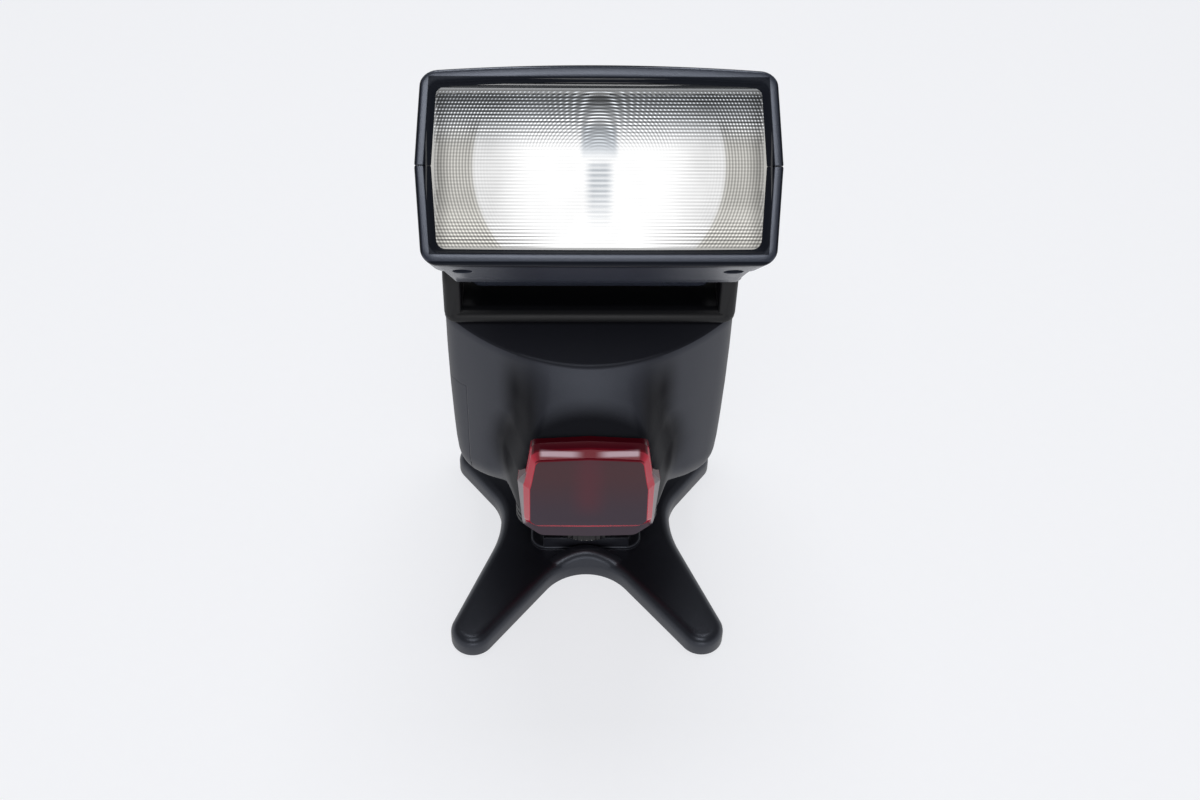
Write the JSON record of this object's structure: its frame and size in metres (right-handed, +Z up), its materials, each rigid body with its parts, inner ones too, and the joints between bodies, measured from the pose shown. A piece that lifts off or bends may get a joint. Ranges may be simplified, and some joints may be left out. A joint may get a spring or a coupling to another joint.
{
  "type": "speedlight flash",
  "caption": "Shoe-mount camera flash with swivelling, tilting zoom head, control panel and battery door, standing in a mini stand with a tripod thread.",
  "frame": {"origin": "on the ground, at the mouth of the stand's threaded bush, under the centre of the hot-shoe foot", "axes": "+Z up, -Y towards the lens side, +X to the right seen from the front; head tilted 45 degrees up at rest"},
  "size_m": [0.073, 0.0834, 0.1737],
  "materials": {
    "stand_plastic": "moulded black, satin to semi-gloss",
    "bush_brass": "turned, threaded",
    "foot_metal": "machined, lightly brushed",
    "contact_gold": "plated, polished",
    "body_plastic": "fine satin grain, slate black",
    "head_plastic": "fine satin grain, blue-black",
    "black_plastic": "fine matt black",
    "key_rubber": "matt dark grey",
    "key_grey": "satin grey",
    "test_key": "translucent red",
    "window_red": "polished translucent dark red",
    "clear_lens": "clear moulded acrylic with fresnel grooves",
    "lcd_cover": "clear, polished",
    "lcd_glass": "grey-green reflective",
    "diffuser_white": "white, translucent",
    "circuit_board": "green solder mask",
    "capacitor_sleeve": "shrink sleeve, dark blue",
    "copper_winding": "enamelled wire and ferrite",
    "cell_wrap": "plain foil wrap",
    "spring_steel": "bright",
    "screw_black": "black zinc",
    "mirror_foil": "bright anodised",
    "xenon_glass": "clear",
    "wire_red": "sleeving"
  },
  "bodies": {
    "stand": {"mini_stand": "stand_plastic", "tripod_bush": "bush_brass"},
    "flash_body": {"shoe_foot": "foot_metal", "foot_contacts": "contact_gold", "foot_housing": "black_plastic", "body_front_shell": "body_plastic", "body_rear_shell": "body_plastic", "af_window": "window_red", "af_emitter": "black_plastic", "wireless_sensor": "black_plastic", "lcd_window": "lcd_cover", "lcd_panel": "lcd_glass", "lcd_backlight": "diffuser_white", "control_board": "circuit_board", "power_board": "circuit_board", "main_capacitor": "capacitor_sleeve", "transformer": "copper_winding", "battery_tray": "black_plastic", "aa_cells": "cell_wrap", "battery_contacts": "spring_steel", "body_screws": "screw_black"},
    "lever": {"lock_lever": "black_plastic"},
    "lever_button": {"lock_release_button": "key_grey"},
    "lock_pin": {"locking_pin": "spring_steel"},
    "cover_pin": {"battery_cover_pin": "spring_steel"},
    "cover": {"battery_cover": "body_plastic"},
    "swivel": {"swivel_bracket": "black_plastic", "swivel_tube": "spring_steel", "swivel_retainer": "spring_steel", "friction_washer": "spring_steel", "release_spring": "spring_steel"},
    "tilt_button": {"tilt_release_button": "black_plastic"},
    "head": {"head_upper_shell": "head_plastic", "head_lower_shell": "head_plastic", "fresnel_lens": "clear_lens", "head_screws": "screw_black", "tilt_pins": "spring_steel", "zoom_motor": "foot_metal", "guide_rods": "spring_steel", "trigger_board": "circuit_board", "trigger_coil": "copper_winding", "head_harness": "wire_red"},
    "panel": {"wide_panel": "clear_lens"},
    "zoom_screw": {"lead_screw": "spring_steel"},
    "carriage": {"zoom_carriage": "black_plastic", "reflector": "mirror_foil", "flash_tube": "xenon_glass"},
    "power_slider": {"power_switch": "key_grey"},
    "mode_button": {"mode_button": "key_rubber"},
    "sync_button": {"sync_button": "key_rubber"},
    "zoom_button": {"zoom_button": "key_rubber"},
    "light_button": {"light_button": "key_rubber"},
    "test_button": {"test_button": "test_key"},
    "set_key": {"set_key": "key_rubber"},
    "up_key": {"up_key": "key_rubber"},
    "down_key": {"down_key": "key_rubber"},
    "left_key": {"left_key": "key_rubber"},
    "right_key": {"right_key": "key_rubber"}
  },
  "joints": [
    {"name": "shoe_slide", "type": "slide", "parent": "stand", "child": "flash_body", "axis": [0, 1, 0], "range_m": [0, 0.03]},
    {"name": "lever_turn", "type": "hinge", "parent": "flash_body", "child": "lever", "pos_m": [0, 0, 0.0145], "axis": [0, 0, -1], "range_deg": [0, 60]},
    {"name": "lever_button_press", "type": "slide", "parent": "lever", "child": "lever_button", "axis": [0.866, 0.5, 0], "range_m": [0, 0.001]},
    {"name": "lock_pin_drop", "type": "slide", "parent": "flash_body", "child": "lock_pin", "axis": [0, 0, -1], "range_m": [0, 0.0013]},
    {"name": "cover_slide", "type": "slide", "parent": "flash_body", "child": "cover_pin", "axis": [0, 0, -1], "range_m": [0, 0.003]},
    {"name": "cover_swing", "type": "hinge", "parent": "cover_pin", "child": "cover", "pos_m": [-0.0338, 0.0192, 0.046], "axis": [0, 0, -1], "range_deg": [0, 95]},
    {"name": "head_swivel", "type": "hinge", "parent": "flash_body", "child": "swivel", "pos_m": [0, 0.0093, 0.0845], "axis": [0, 0, 1], "range_deg": [-90, 180]},
    {"name": "head_tilt", "type": "hinge", "parent": "swivel", "child": "head", "pos_m": [0, 0.0093, 0.094], "axis": [-1, 0, 0], "range_deg": [-45, 45]},
    {"name": "tilt_button_press", "type": "slide", "parent": "swivel", "child": "tilt_button", "axis": [-1, 0, 0], "range_m": [0, 0.0012]},
    {"name": "panel_pull", "type": "slide", "parent": "head", "child": "panel", "axis": [0, -0.7071, 0.7071], "range_m": [0, 0.038]},
    {"name": "zoom_travel", "type": "slide", "parent": "head", "child": "carriage", "axis": [0, 0.7071, -0.7071], "range_m": [0, 0.016]},
    {"name": "zoom_screw_turn", "type": "hinge", "parent": "head", "child": "zoom_screw", "pos_m": [-0.0294, -0.01262, 0.14279], "axis": [0, 0.7071, -0.7071], "range_deg": [0, 1440]},
    {"name": "mode_button_press", "type": "slide", "parent": "flash_body", "child": "mode_button", "axis": [0, -1, 0], "range_m": [0, 0.0008]},
    {"name": "sync_button_press", "type": "slide", "parent": "flash_body", "child": "sync_button", "axis": [0, -1, 0], "range_m": [0, 0.0008]},
    {"name": "zoom_button_press", "type": "slide", "parent": "flash_body", "child": "zoom_button", "axis": [0, -1, 0], "range_m": [0, 0.0008]},
    {"name": "light_button_press", "type": "slide", "parent": "flash_body", "child": "light_button", "axis": [0, -1, 0], "range_m": [0, 0.0008]},
    {"name": "test_button_press", "type": "slide", "parent": "flash_body", "child": "test_button", "axis": [0, -1, 0], "range_m": [0, 0.0008]},
    {"name": "set_key_press", "type": "slide", "parent": "flash_body", "child": "set_key", "axis": [0, -1, 0], "range_m": [0, 0.0008]},
    {"name": "up_key_press", "type": "slide", "parent": "flash_body", "child": "up_key", "axis": [0, -1, 0], "range_m": [0, 0.0008]},
    {"name": "down_key_press", "type": "slide", "parent": "flash_body", "child": "down_key", "axis": [0, -1, 0], "range_m": [0, 0.0008]},
    {"name": "left_key_press", "type": "slide", "parent": "flash_body", "child": "left_key", "axis": [0, -1, 0], "range_m": [0, 0.0008]},
    {"name": "right_key_press", "type": "slide", "parent": "flash_body", "child": "right_key", "axis": [0, -1, 0], "range_m": [0, 0.0008]},
    {"name": "power_switch_slide", "type": "slide", "parent": "flash_body", "child": "power_slider", "axis": [0, 0, 1], "range_m": [0, 0.005]}
  ],
  "couplings": [
    {"joint": "lock_pin_drop", "follows": "lever_turn", "m_per_rad": 0.001241},
    {"joint": "zoom_screw_turn", "follows": "zoom_travel", "rad_per_m": 1570.8}
  ]
}
